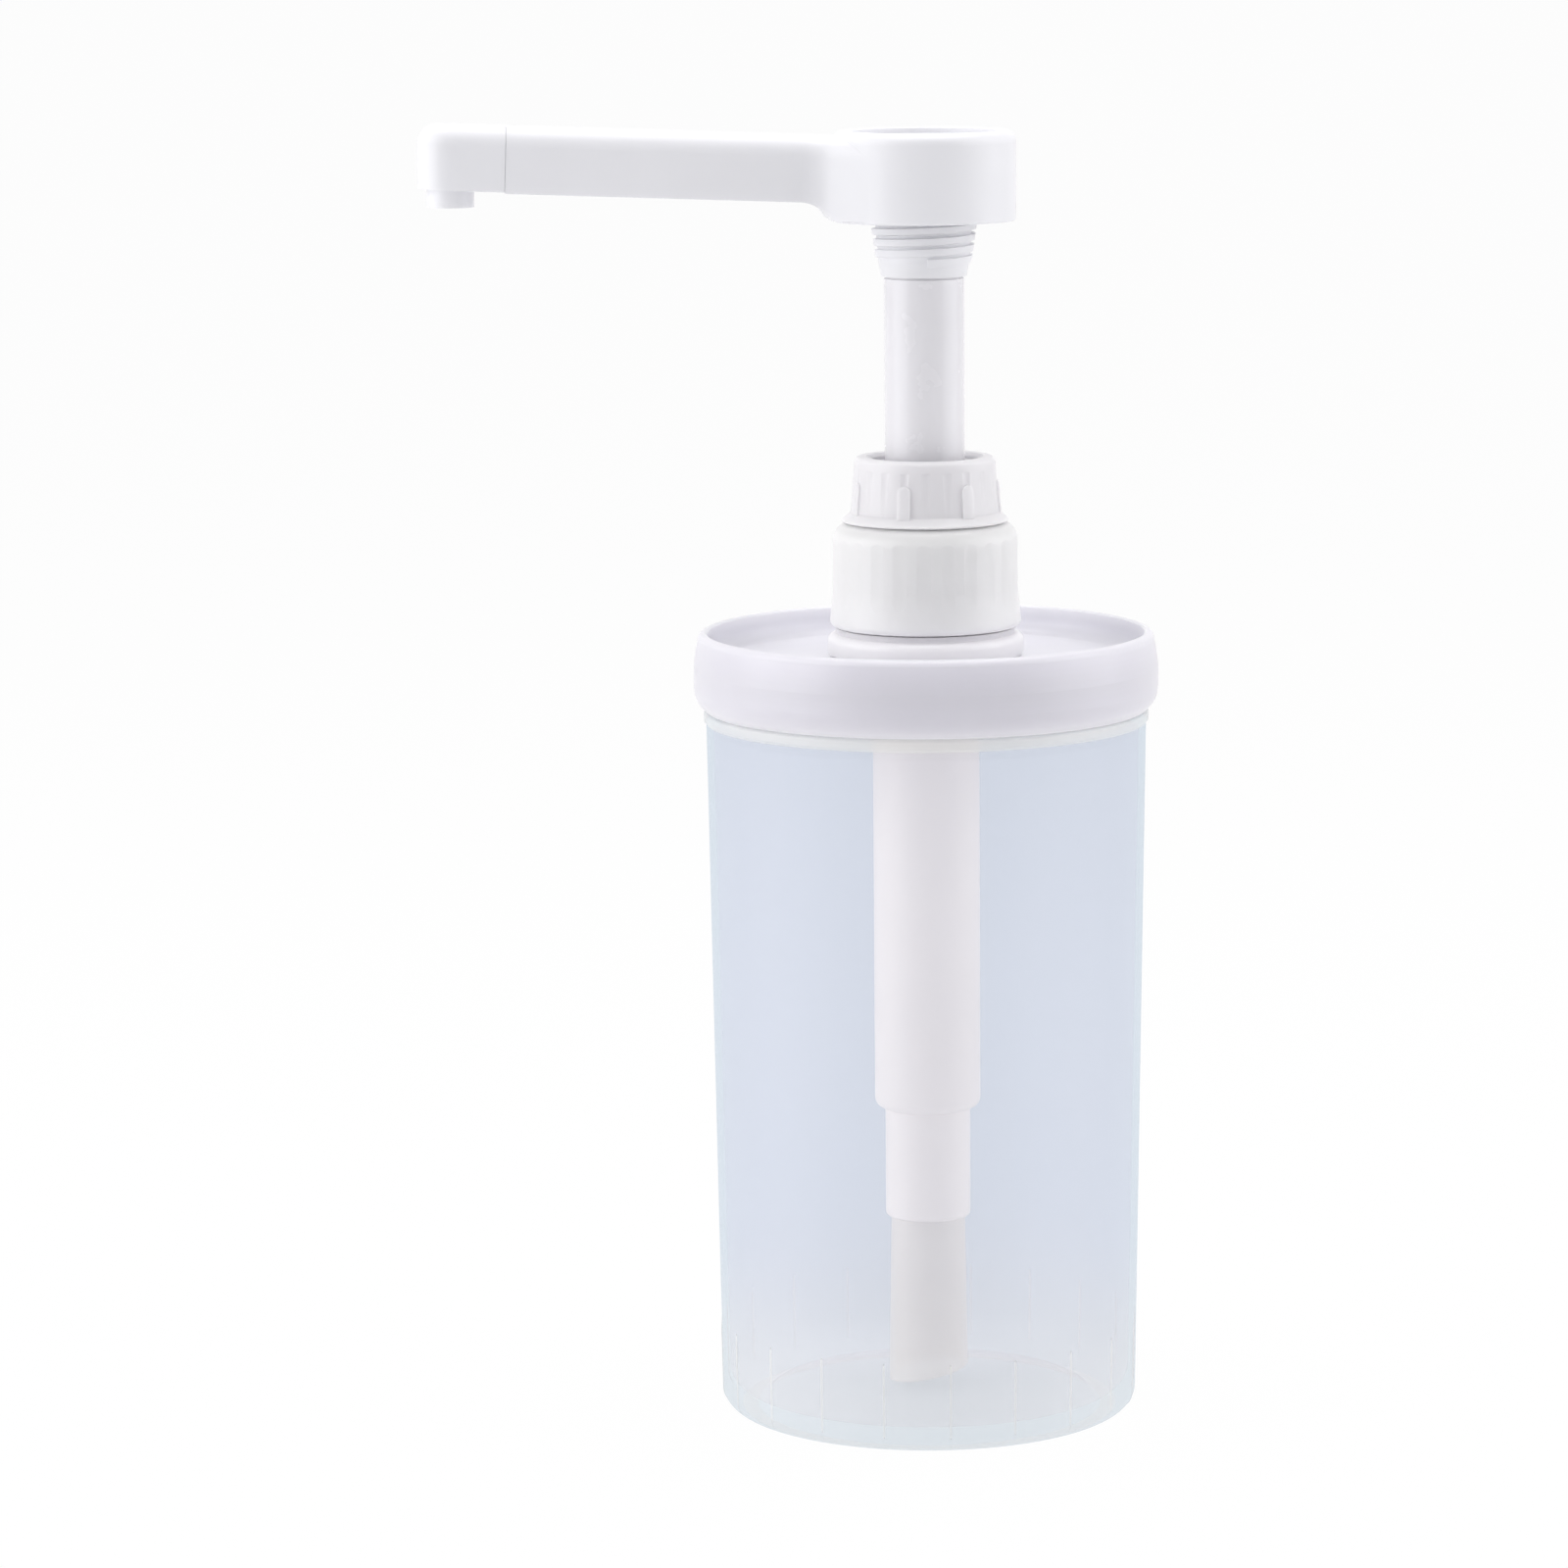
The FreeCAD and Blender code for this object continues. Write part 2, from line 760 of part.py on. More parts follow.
def spring():
    low, high = spring_ends()
    pitch = (high - low) / spring_turns
    helix = Part.Wire(Part.makeHelix(pitch, high - low, spring_radius).Edges)
    circle = Part.makeCircle(spring_wire_radius, point(spring_radius, 0), FreeCAD.Vector(0, 1, 0))
    coil = helix.makePipeShell([Part.Wire(circle)], True, True)
    coil.translate(FreeCAD.Vector(0, 0, low))
    return coil


def dip_tube():
    """Tube that widens slightly downwards and is cut off at a slant."""
    top = housing_bottom + socket_depth
    body = lathe(
        (dip_tube_end_radius - dip_tube_wall, 0),
        (dip_tube_end_radius, 0),
        (dip_tube_radius, housing_bottom),
        (dip_tube_radius, top),
        (dip_tube_radius - dip_tube_wall, top),
        (dip_tube_radius - dip_tube_wall, housing_bottom),
    )
    middle = foot_recess + jar_floor + dip_tube_gap + dip_tube_slant / 2.0
    slant = math.atan2(dip_tube_slant, 2 * dip_tube_end_radius)
    below = Part.makeBox(60, 60, 60, FreeCAD.Vector(-30, -30, -60))
    below.rotate(ORIGIN, FreeCAD.Vector(0, 1, 0), math.degrees(slant))
    below.rotate(ORIGIN, Z_AXIS, dip_tube_cut_azimuth)
    below.translate(FreeCAD.Vector(0, 0, middle))
    return body.cut(below)


def arm_line(reach):
    """Height of the arm's top plane at a distance from the axis."""
    return hub_top - arm_top_drop + (reach - hub_radius) * math.tan(math.radians(arm_rise_degrees))


def arm_flank():
    """Direction in which the arm's root faces beside the hub, and the centre of its fillet."""
    turn = math.radians(arm_flank_degrees)
    out = FreeCAD.Vector(-math.sin(turn), math.cos(turn), 0)
    centre_y = arm_width / 2.0 + arm_root_fillet
    centre_x = (hub_radius - 0.04 + arm_root_fillet - out.y * centre_y) / out.x
    return out, FreeCAD.Vector(centre_x, centre_y, 0)


def arm_nose_reach():
    """Distance from the axis to where the arm's root fillet starts."""
    out, centre = arm_flank()
    return -(centre - out * arm_root_fillet).x


def arm_plan(bottom, top):
    """Arm outline seen from above, with a round end and straight flanks to the hub, as a prism."""
    half = arm_width / 2.0
    out, centre = arm_flank()
    touch = out * (hub_radius - 0.04)
    between = (FreeCAD.Vector(0, -1, 0) - out).normalize()
    left = [
        FreeCAD.Vector(-boss_radius * 0.7, touch.y * 0.7, 0),
        touch,
        centre - out * arm_root_fillet,
        centre + between * arm_root_fillet,
        FreeCAD.Vector(centre.x, half, 0),
        FreeCAD.Vector(-spout_reach, half, 0),
    ]
    right = [FreeCAD.Vector(p.x, -p.y, 0) for p in left]
    end = FreeCAD.Vector(-spout_reach - half, 0, 0)
    edges = [
        Part.LineSegment(left[0], left[1]).toShape(),
        Part.LineSegment(left[1], left[2]).toShape(),
        Part.Arc(left[2], left[3], left[4]).toShape(),
        Part.LineSegment(left[4], left[5]).toShape(),
        Part.Arc(left[5], end, right[5]).toShape(),
        Part.LineSegment(right[5], right[4]).toShape(),
        Part.Arc(right[4], right[3], right[2]).toShape(),
        Part.LineSegment(right[2], right[1]).toShape(),
        Part.LineSegment(right[1], right[0]).toShape(),
        Part.LineSegment(right[0], left[0]).toShape(),
    ]
    face = Part.Face(Part.Wire(edges))
    face.translate(FreeCAD.Vector(0, 0, bottom))
    return face.extrude(FreeCAD.Vector(0, 0, top - bottom))


def side_prism(corners, depth):
    """Extrude an outline in the XZ plane evenly to both sides of y = 0."""
    face = Part.Face(Part.Wire(corners))
    face.translate(FreeCAD.Vector(0, -depth / 2.0, 0))
    return face.extrude(FreeCAD.Vector(0, depth, 0))


def arm_blank():
    """The whole arm to the end of the tip, solid, with its top edges rounded."""
    rise = math.tan(math.radians(arm_rise_degrees))
    tip = spout_reach + arm_width
    nose = arm_nose_reach()
    gusset_start = nose + arm_gusset_length

    def below(reach):
        return arm_line(reach) - arm_height

    drop = arm_gusset_radius - math.sqrt(arm_gusset_radius**2 - arm_gusset_length**2)
    half_way = (gusset_start + nose) / 2.0
    half_drop = arm_gusset_radius - math.sqrt(arm_gusset_radius**2 - (gusset_start - half_way) ** 2)
    start = FreeCAD.Vector(-tip, 0, below(tip))
    bend = FreeCAD.Vector(-gusset_start, 0, below(gusset_start))
    middle = FreeCAD.Vector(-half_way, 0, below(gusset_start) - half_drop - rise * (gusset_start - half_way))
    meet = FreeCAD.Vector(-nose, 0, below(gusset_start) - drop - rise * arm_gusset_length)
    inner = FreeCAD.Vector(0, 0, meet.z)
    inner_top = FreeCAD.Vector(0, 0, arm_line(0))
    tip_top = FreeCAD.Vector(-tip, 0, arm_line(tip))
    side = side_prism(
        [
            Part.LineSegment(start, bend).toShape(),
            Part.Arc(bend, middle, meet).toShape(),
            Part.LineSegment(meet, inner).toShape(),
            Part.LineSegment(inner, inner_top).toShape(),
            Part.LineSegment(inner_top, tip_top).toShape(),
            Part.LineSegment(tip_top, start).toShape(),
        ],
        4 * arm_width,
    )
    blank = arm_plan(hub_bottom - 5, hub_top + 20).common(side)
    inner_x = -boss_radius * 0.7
    top_edges = []
    for edge in blank.Edges:
        on_top = all(abs(v.Z - arm_line(-v.X)) < 1e-4 for v in edge.Vertexes)
        at_inner_end = all(abs(v.X - inner_x) < 1e-4 for v in edge.Vertexes)
        if on_top and not at_inner_end:
            top_edges.append(edge)
    return blank.makeFillet(arm_top_round, top_edges)


def seam_reach():
    return spout_reach - tip_length


def seam_middle():
    return FreeCAD.Vector(-seam_reach(), 0, arm_line(seam_reach()) - arm_height / 2.0)


def beyond_seam():
    """Everything outside the seam's plane, which stands square to the arm's slope."""
    block = Part.makeBox(far, far, far, FreeCAD.Vector(-far, -far / 2.0, -far / 2.0))
    block.rotate(ORIGIN, FreeCAD.Vector(0, 1, 0), arm_rise_degrees)
    block.translate(seam_middle())
    return block


def channel(radius, start_reach, end_reach):
    """A round bar along the arm's middle, from one distance to another."""
    slope = math.radians(arm_rise_degrees)
    along = FreeCAD.Vector(-math.cos(slope), 0, math.sin(slope))
    start = FreeCAD.Vector(-start_reach, 0, arm_line(start_reach) - arm_height / 2.0)
    return Part.makeCylinder(radius, (end_reach - start_reach) / math.cos(slope), start, along)


def lock_skirt():
    """Threaded skirt under the hub, tapered to a thin lip at its lower end."""
    core = lathe(
        (0, lock_bottom),
        (lock_tip_radius, lock_bottom),
        (lock_core_low_radius, lock_bottom + lock_core_taper),
        (lock_core_radius, hub_bottom + 1),
        (0, hub_bottom + 1),
    )
    ridge = thread_ridge(
        lock_core_low_radius - ridge_bite,
        lock_crest_radius,
        lock_lead,
        lock_turns,
        (lock_ridge_foot, lock_ridge_tip),
        lock_bottom + lock_thread_start,
        268,
    )
    envelope = lathe(
        (0, lock_bottom),
        (lock_tip_radius, lock_bottom),
        (lock_crest_low_radius, lock_bottom + lock_crest_taper),
        (lock_crest_radius, hub_bottom),
        (lock_crest_radius, hub_bottom + 2),
        (0, hub_bottom + 2),
    )
    return core.fuse(ridge).common(envelope)


def head():
    """Hub, hollow arm and lock thread as one moulding."""
    hub = lathe(
        (0, hub_bottom),
        (hub_radius - 0.4, hub_bottom),
        (hub_radius, hub_bottom + 0.4),
        (hub_radius, hub_top - hub_round),
        corner_arc(hub_radius - hub_round, hub_top - hub_round, hub_round, 0, 90),
        (0, hub_top),
    )
    arm = arm_blank().cut(beyond_seam())
    dish = lathe(
        (0, dish_floor),
        (hub_dish_radius - 1.2, dish_floor),
        (hub_dish_radius, dish_floor + 1.2),
        (hub_dish_radius, hub_top - hub_dish_edge),
        (hub_dish_radius + 2 * hub_dish_edge, hub_top + hub_dish_edge),
        (0, hub_top + hub_dish_edge),
    )
    hollow = ring(boss_radius, hub_radius - hub_wall, hub_bottom - 1, cavity_roof)
    hollow = hollow.cut(slab(-hub_radius, 0, arm_width, hub_bottom - 2, far))
    passage_top = cavity_roof
    bore = ring(0, stem_socket_bore, lock_bottom - 1, stem_top)
    bore = bore.fuse(ring(0, stem_bore, stem_top - 1, passage_top))
    bore = bore.fuse(channel(arm_channel_radius, 0, seam_reach() + 5))
    solid = hub.fuse([arm, lock_skirt()])
    return solid.cut(dish).cut(hollow).cut(bore)


def nozzle_tip():
    """End piece of the arm: a plug, a half-round elbow and the spout."""
    blank = arm_blank().common(beyond_seam())
    rise = math.tan(math.radians(arm_rise_degrees))
    low = arm_line(seam_reach()) - arm_height
    trim = Part.makeBox(far, 4 * arm_width, 40, FreeCAD.Vector(-far, -2 * arm_width, -40 + tip_bottom_step))
    trim.rotate(ORIGIN, FreeCAD.Vector(0, 1, 0), arm_rise_degrees)
    trim.translate(FreeCAD.Vector(-seam_reach(), 0, low))
    blank = blank.cut(trim)
    outward = FreeCAD.Vector(-1, 0, rise)
    seam_edges = []
    for edge in blank.Edges:
        if all(abs((v.Point - seam_middle()).dot(outward)) < 1e-4 for v in edge.Vertexes):
            seam_edges.append(edge)
    blank = blank.makeChamfer(seam_groove, seam_edges)
    plug = channel(arm_channel_radius - slip_clearance, seam_reach() - tip_plug_length, seam_reach() + 2)
    spout_bottom = low + rise * tip_length - spout_drop
    axis = FreeCAD.Vector(-spout_reach, 0, spout_bottom)
    middle = arm_line(spout_reach) - arm_height / 2.0
    spout = Part.makeCylinder(spout_radius, middle - spout_bottom, axis, Z_AXIS)
    across = channel(tip_bore, seam_reach() - tip_plug_length - 2, spout_reach)
    down = Part.makeCylinder(tip_bore, middle - spout_bottom + 1, axis - FreeCAD.Vector(0, 0, 1), Z_AXIS)
    elbow = Part.makeSphere(tip_bore, FreeCAD.Vector(-spout_reach, 0, middle))
    return blank.fuse([plug, spout]).cut(across.fuse([down, elbow]))


NODES = {
    "jar": jar,
    "lid_liner": lid_liner,
    "lid": lid,
    "neck_fitting": neck_fitting,
    "fitting_gasket": fitting_gasket_ring,
    "back_nut": back_nut,
    "closure": closure,
    "closure_gasket": closure_gasket_ring,
    "housing": housing,
    "collar": collar,
    "stem": stem,
    "piston": piston,
    "piston_retainer": piston_retainer,
    "outlet_ball": lambda: ball(outlet_ball_radius, outlet_ball_centre()),
    "inlet_ball": lambda: ball(inlet_ball_radius, inlet_ball_centre()),
    "ball_cage": ball_cage,
    "spring": spring,
    "dip_tube": dip_tube,
    "head": head,
    "nozzle_tip": nozzle_tip,
}


def build():
    """Make every node as one clean solid, by name."""
    shapes = {}
    for name, make in NODES.items():
        shape = make()
        if len(shape.Solids) == 1:
            shape = shape.Solids[0]
        shapes[name] = shape
    return shapes


def main():
    os.makedirs("parts", exist_ok=True)
    for name, shape in build().items():
        print(name, "solids", len(shape.Solids), "valid", shape.isValid(), "volume", round(shape.Volume, 1))
        shape.exportStep(os.path.join("parts", name + ".step"))


main()
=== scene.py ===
import math

import bpy
from mathutils import Matrix, Vector


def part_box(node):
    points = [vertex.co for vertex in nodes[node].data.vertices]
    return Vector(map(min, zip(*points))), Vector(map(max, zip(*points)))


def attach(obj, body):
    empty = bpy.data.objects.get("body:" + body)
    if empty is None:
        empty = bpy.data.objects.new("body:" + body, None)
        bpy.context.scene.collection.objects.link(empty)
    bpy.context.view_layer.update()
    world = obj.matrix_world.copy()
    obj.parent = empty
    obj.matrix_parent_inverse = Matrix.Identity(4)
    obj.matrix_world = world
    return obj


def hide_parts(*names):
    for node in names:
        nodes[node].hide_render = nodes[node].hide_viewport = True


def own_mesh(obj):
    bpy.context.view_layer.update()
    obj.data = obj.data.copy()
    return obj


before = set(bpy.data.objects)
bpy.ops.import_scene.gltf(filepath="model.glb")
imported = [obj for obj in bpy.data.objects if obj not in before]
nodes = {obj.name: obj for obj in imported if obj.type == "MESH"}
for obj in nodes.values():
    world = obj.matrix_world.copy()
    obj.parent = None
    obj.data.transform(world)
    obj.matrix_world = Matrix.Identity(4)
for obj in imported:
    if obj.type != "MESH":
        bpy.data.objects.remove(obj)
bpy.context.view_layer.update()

MM = 0.001
UP = Vector((0, 0, 1))

# Camera: its place round the object, its height and its lens
CAMERA_AZIMUTH = math.radians(-5.0)
CAMERA_DISTANCE = 1.2848
CAMERA_SIDE = -0.0320
CAMERA_HEIGHT = 0.3462
CAMERA_DOWN = math.radians(8.996)
CAMERA_ROLL = math.radians(0.484)
CAMERA_LENS = 132.82
CAMERA_SENSOR = 36.0
CAMERA_NEAR = 0.05
CAMERA_FAR = 100.0

# Light that falls on the object
SKY_STRENGTH = 0.46
SKY_COLOUR = (0.97, 0.975, 1.0)
LAMP_COLOUR = (1.0, 0.99, 0.985)
LAMP_AIM = Vector((0, 0, 0.15))
LAMPS = (
    # name, steps from the aim to the right, away from the camera and up, width, height, power
    ("left_softbox", (-1.1, -0.3, 0.25), 1.1, 1.5, 10.2),
    ("right_softbox", (1.1, -0.15, 0.25), 1.0, 1.5, 7.6),
    ("top_softbox", (0.0, 0.1, 1.2), 1.2, 1.0, 9.0),
)

# Floor. FLOOR_WHITE is how far the camera sees it as plain white in place of lit paint, and
# FLOOR_THROUGH_JAR is painted on where it is seen through a clear wall.
FLOOR_REACH = 30.0
FLOOR_PAINT = (0.9, 0.9, 0.9)
FLOOR_WHITE = 0.96
FLOOR_THROUGH_JAR = (0.71, 0.81, 0.86)

# Surface textures: the span of a noise that is used, how fine and how deep each one is, and
# the scale at which a band texture has one band a metre
NOISE_SPAN = (0.3, 0.7)
DRIFT_SCALE = 45
GLOSS_SCALE = 160
FLOW_SCALE = 260
FLOW_STRETCH = 0.06
FROST_SCALE = 2200
FOAM_SCALE = 2500
DRAWN_SCALE = 900
GRAIN_SIZE = 0.6 * MM
GRAIN_DEPTH = 0.003 * MM
FLOW_DEPTH = 0.012 * MM
FOAM_DEPTH = 0.05 * MM
DRAWN_DEPTH = 0.004 * MM
ONE_BAND_SCALE = 0.31416

# Plastics. SOLID_ALPHA is the alpha of a frosted wall at its most solid, TINT_GAIN how fast it
# takes its dense colour, PAINTED_LIGHT_STEP how far out the paler colour painted as light in a
# moulding's recess reaches, and STEP_START the share of such a step where the change starts.
PLASTIC_IOR = 1.49
FROSTED_SPECULAR = 0.3
SOLID_ALPHA = 0.8
TINT_GAIN = 5.0
PAINTED_LIGHT_STEP = 1.2 * MM
STEP_START = 0.3

# Spring wire, as drawn in the model, and the mesh of its coil
WIRE_RADIUS = 0.85 * MM
SPRING_TURNS = 16
COIL_STEPS_PER_TURN = 28
COIL_SIDES = 10


def place_camera():
    right = Vector((math.cos(CAMERA_AZIMUTH), math.sin(CAMERA_AZIMUTH), 0))
    away = Vector((-math.sin(CAMERA_AZIMUTH), math.cos(CAMERA_AZIMUTH), 0))
    look = away * math.cos(CAMERA_DOWN) - UP * math.sin(CAMERA_DOWN)
    crown = away * math.sin(CAMERA_DOWN) + UP * math.cos(CAMERA_DOWN)
    side = right * math.cos(CAMERA_ROLL) - crown * math.sin(CAMERA_ROLL)
    top = right * math.sin(CAMERA_ROLL) + crown * math.cos(CAMERA_ROLL)
    place = right * CAMERA_SIDE - away * CAMERA_DISTANCE + UP * CAMERA_HEIGHT
    turn = Matrix((side, top, -look)).transposed().to_4x4()
    data = bpy.data.cameras.new("camera")
    data.sensor_width = CAMERA_SENSOR
    data.lens = CAMERA_LENS
    data.clip_start = CAMERA_NEAR
    data.clip_end = CAMERA_FAR
    camera = bpy.data.objects.new("camera", data)
    camera.matrix_world = Matrix.Translation(place) @ turn
    bpy.context.scene.collection.objects.link(camera)
    bpy.context.scene.camera = camera
    return right, away


def opaque(colour):
    return (*colour, 1)


def feed(tree, socket, value):
    """Gives a socket a value, or links another node's output to it."""
    if isinstance(value, bpy.types.NodeSocket):
        tree.links.new(value, socket)
    else:
        socket.default_value = value


def maths(tree, operation, *values, clamp=False):
    """One math operation on numbers and other nodes' outputs."""
    node = tree.nodes.new("ShaderNodeMath")
    node.operation = operation
    node.use_clamp = clamp
    for socket, value in zip(node.inputs, values):
        feed(tree, socket, value)
    return node.outputs[0]


def rescaled(tree, value, source, target):
    """A value moved from one span to another and held at its ends."""
    node = tree.nodes.new("ShaderNodeMapRange")
    node.inputs["From Min"].default_value, node.inputs["From Max"].default_value = source
    node.inputs["To Min"].default_value, node.inputs["To Max"].default_value = target
    tree.links.new(value, node.inputs["Value"])
    return node.outputs["Result"]


def blended(tree, factor, first, second):
    """Two colours mixed, each given as RGBA or as another node's output."""
    node = tree.nodes.new("ShaderNodeMix")
    node.data_type = "RGBA"
    tree.links.new(factor, node.inputs["Factor"])
    feed(tree, node.inputs["A"], first)
    feed(tree, node.inputs["B"], second)
    return node.outputs["Result"]


def mixed_surface(tree, factor, first, second, output):
    """Two shaders mixed into the tree's output."""
    mix = tree.nodes.new("ShaderNodeMixShader")
    out = tree.nodes.new(output)
    tree.links.new(factor, mix.inputs["Fac"])
    tree.links.new(first, mix.inputs[1])
    tree.links.new(second, mix.inputs[2])
    tree.links.new(mix.outputs[0], out.inputs["Surface"])


def seen_directly(tree):
    """1 where a surface or the sky is seen by the camera, in gloss or through something clear."""
    path = tree.nodes.new("ShaderNodeLightPath").outputs
    either = maths(tree, "MAXIMUM", path["Is Camera Ray"], path["Is Glossy Ray"])
    return maths(tree, "MAXIMUM", either, path["Is Transmission Ray"])


def background(tree, colour, strength):
    node = tree.nodes.new("ShaderNodeBackground")
    node.inputs["Color"].default_value = opaque(colour)
    node.inputs["Strength"].default_value = strength
    return node.outputs[0]


def light_sky():
    world = bpy.data.worlds.new("sky")
    world.use_nodes = True
    tree = world.node_tree
    tree.nodes.clear()
    lit = background(tree, SKY_COLOUR, SKY_STRENGTH)
    seen = background(tree, (1, 1, 1), 1.0)
    mixed_surface(tree, seen_directly(tree), lit, seen, "ShaderNodeOutputWorld")
    bpy.context.scene.world = world


def softbox(name, place, aim, width, height, power):
    data = bpy.data.lights.new(name, "AREA")
    data.shape = "RECTANGLE"
    data.size = width
    data.size_y = height
    data.energy = power
    data.color = LAMP_COLOUR
    lamp = bpy.data.objects.new(name, data)
    lamp.location = place
    lamp.rotation_euler = (aim - place).to_track_quat("-Z", "Y").to_euler()
    bpy.context.scene.collection.objects.link(lamp)


def lay_floor():
    mesh = bpy.data.meshes.new("floor")
    signs = ((-1, -1), (1, -1), (1, 1), (-1, 1))
    corners = [(x * FLOOR_REACH, y * FLOOR_REACH, 0) for x, y in signs]
    mesh.from_pydata(corners, [], [(0, 1, 2, 3)])
    floor = bpy.data.objects.new("floor", mesh)
    bpy.context.scene.collection.objects.link(floor)
    material = bpy.data.materials.new("floor_white")
    material.use_nodes = True
    tree = material.node_tree
    tree.nodes.clear()
    paint = tree.nodes.new("ShaderNodeBsdfDiffuse")
    paint.inputs["Color"].default_value = opaque(FLOOR_PAINT)
    clear = tree.nodes.new("ShaderNodeLightPath").outputs["Transparent Depth"]
    white = tree.nodes.new("ShaderNodeEmission")
    white.inputs["Strength"].default_value = 1.0
    tint = blended(tree, clear, opaque((1, 1, 1)), opaque(FLOOR_THROUGH_JAR))
    tree.links.new(tint, white.inputs["Color"])
    share = maths(tree, "MULTIPLY", seen_directly(tree), FLOOR_WHITE)
    mixed_surface(tree, share, paint.outputs[0], white.outputs[0], "ShaderNodeOutputMaterial")
    mesh.materials.append(material)


def noise(tree, vector, scale, detail, roughness=0.5):
    node = tree.nodes.new("ShaderNodeTexNoise")
    node.inputs["Scale"].default_value = scale
    node.inputs["Detail"].default_value = detail
    node.inputs["Roughness"].default_value = roughness
    tree.links.new(vector, node.inputs["Vector"])
    return node.outputs["Fac"]


def ranged(tree, value, low, high):
    return rescaled(tree, value, NOISE_SPAN, (low, high))


def shade_between(tree, value, colour, other):
    ramp = tree.nodes.new("ShaderNodeValToRGB")
    stops = ramp.color_ramp.elements
    for stop, place, shade in zip(stops, NOISE_SPAN, (colour, other)):
        stop.position = place
        stop.color = opaque(shade)
    tree.links.new(value, ramp.inputs["Fac"])
    return ramp.outputs["Color"]


def toned(colour, share):
    """A colour made darker or paler, and no brighter than 1."""
    return [min(1.0, c * share) for c in colour]


def stretched(tree, scale=(1, 1, 1)):
    """Object coordinates, drawn out along the axes by a scale."""
    place = tree.nodes.new("ShaderNodeTexCoord")
    mapping = tree.nodes.new("ShaderNodeMapping")
    mapping.inputs["Scale"].default_value = scale
    tree.links.new(place.outputs["Object"], mapping.inputs["Vector"])
    return mapping.outputs["Vector"]


def bumps(tree, height, depth, before=None):
    node = tree.nodes.new("ShaderNodeBump")
    node.inputs["Strength"].default_value = 1.0
    node.inputs["Distance"].default_value = depth
    tree.links.new(height, node.inputs["Height"])
    if before is not None:
        tree.links.new(before, node.inputs["Normal"])
    return node.outputs["Normal"]


def new_material(name):
    material = bpy.data.materials.new(name)
    material.use_nodes = True
    tree = material.node_tree
    return material, tree, tree.nodes["Principled BSDF"]


def moulded(name, colour, roughness, lines=None, body=0.0, depth=1.2 * MM, inside=None):
    """Injection-moulded plastic: a fine grain, patches of gloss and a slight drift of colour.

    lines gives the pitch and height of fine turned rings. body is how much light enters the
    moulding, and depth how far it spreads inside. inside gives a radius and a paler colour that
    is painted within it as painted light, for a recess that catches more light than the outside.
    """
    material, tree, shader = new_material(name)
    even = stretched(tree)
    drift = noise(tree, even, DRIFT_SCALE, 2)
    shade = shade_between(tree, drift, toned(colour, 0.985), toned(colour, 1.012))
    # Painted light: within the radius the moulding is painted a paler colour, for the light in a
    # recess
    if inside:
        radius, painted_light_colour = inside
        outside = outside_cone(tree, even, radius, 0.0, PAINTED_LIGHT_STEP)
        shade = blended(tree, outside, opaque(painted_light_colour), shade)
    tree.links.new(shade, shader.inputs["Base Color"])
    patches = noise(tree, even, GLOSS_SCALE, 3)
    gloss = ranged(tree, patches, roughness - 0.015, roughness + 0.02)
    tree.links.new(gloss, shader.inputs["Roughness"])
    waves = bumps(tree, noise(tree, even, 1 / GRAIN_SIZE, 3), GRAIN_DEPTH)
    if lines:
        pitch, height = lines
        rings = tree.nodes.new("ShaderNodeTexWave")
        rings.wave_type = "BANDS"
        rings.bands_direction = "Z"
        rings.inputs["Scale"].default_value = ONE_BAND_SCALE / pitch
        rings.inputs["Distortion"].default_value = 0.0
        tree.links.new(even, rings.inputs["Vector"])
        waves = bumps(tree, rings.outputs["Fac"], height, waves)
    tree.links.new(waves, shader.inputs["Normal"])
    shader.inputs["IOR"].default_value = PLASTIC_IOR
    if body:
        shader.inputs["Subsurface Weight"].default_value = body
        shader.inputs["Subsurface Radius"].default_value = (1.0, 1.0, 1.0)
        shader.inputs["Subsurface Scale"].default_value = depth
    return material


def frosted(name, colour, alpha, roughness, walls, dense, ribs=None):
    """Natural polypropylene that shows what is inside, with drawn-out flow marks.

    walls lists heights and how solid the moulding looks there, from 0 to 1, and dense is its
    colour where it is solid. ribs gives the wall's radius at its foot, its lean, how far a rib
    stands out and how solid it looks.
    """
    material, tree, shader = new_material(name)
    streaks = noise(tree, stretched(tree, (1, 1, FLOW_STRETCH)), FLOW_SCALE, 3, 0.6)
    bluer = [c * f for c, f in zip(colour, (0.975, 0.985, 1.0))]
    shade = shade_between(tree, streaks, bluer, colour)
    gloss = ranged(tree, streaks, roughness - 0.05, roughness + 0.07)
    tree.links.new(gloss, shader.inputs["Roughness"])
    even = stretched(tree)
    frost = bumps(tree, noise(tree, even, FROST_SCALE, 2), GRAIN_DEPTH)
    tree.links.new(bumps(tree, streaks, FLOW_DEPTH, frost), shader.inputs["Normal"])
    thick = by_height(tree, even, walls)
    if ribs:
        thick = maths(tree, "MAXIMUM", thick, outside_cone(tree, even, *ribs))
    tinted = maths(tree, "MULTIPLY", thick, TINT_GAIN, clamp=True)
    shade = blended(tree, tinted, shade, opaque(dense))
    tree.links.new(shade, shader.inputs["Base Color"])
    solid = rescaled(tree, thick, (0.0, 1.0), (alpha, SOLID_ALPHA))
    shader.inputs["Alpha"].default_value = alpha
    tree.links.new(solid, shader.inputs["Alpha"])
    shader.inputs["Specular IOR Level"].default_value = FROSTED_SPECULAR
    shader.inputs["IOR"].default_value = PLASTIC_IOR
    return material


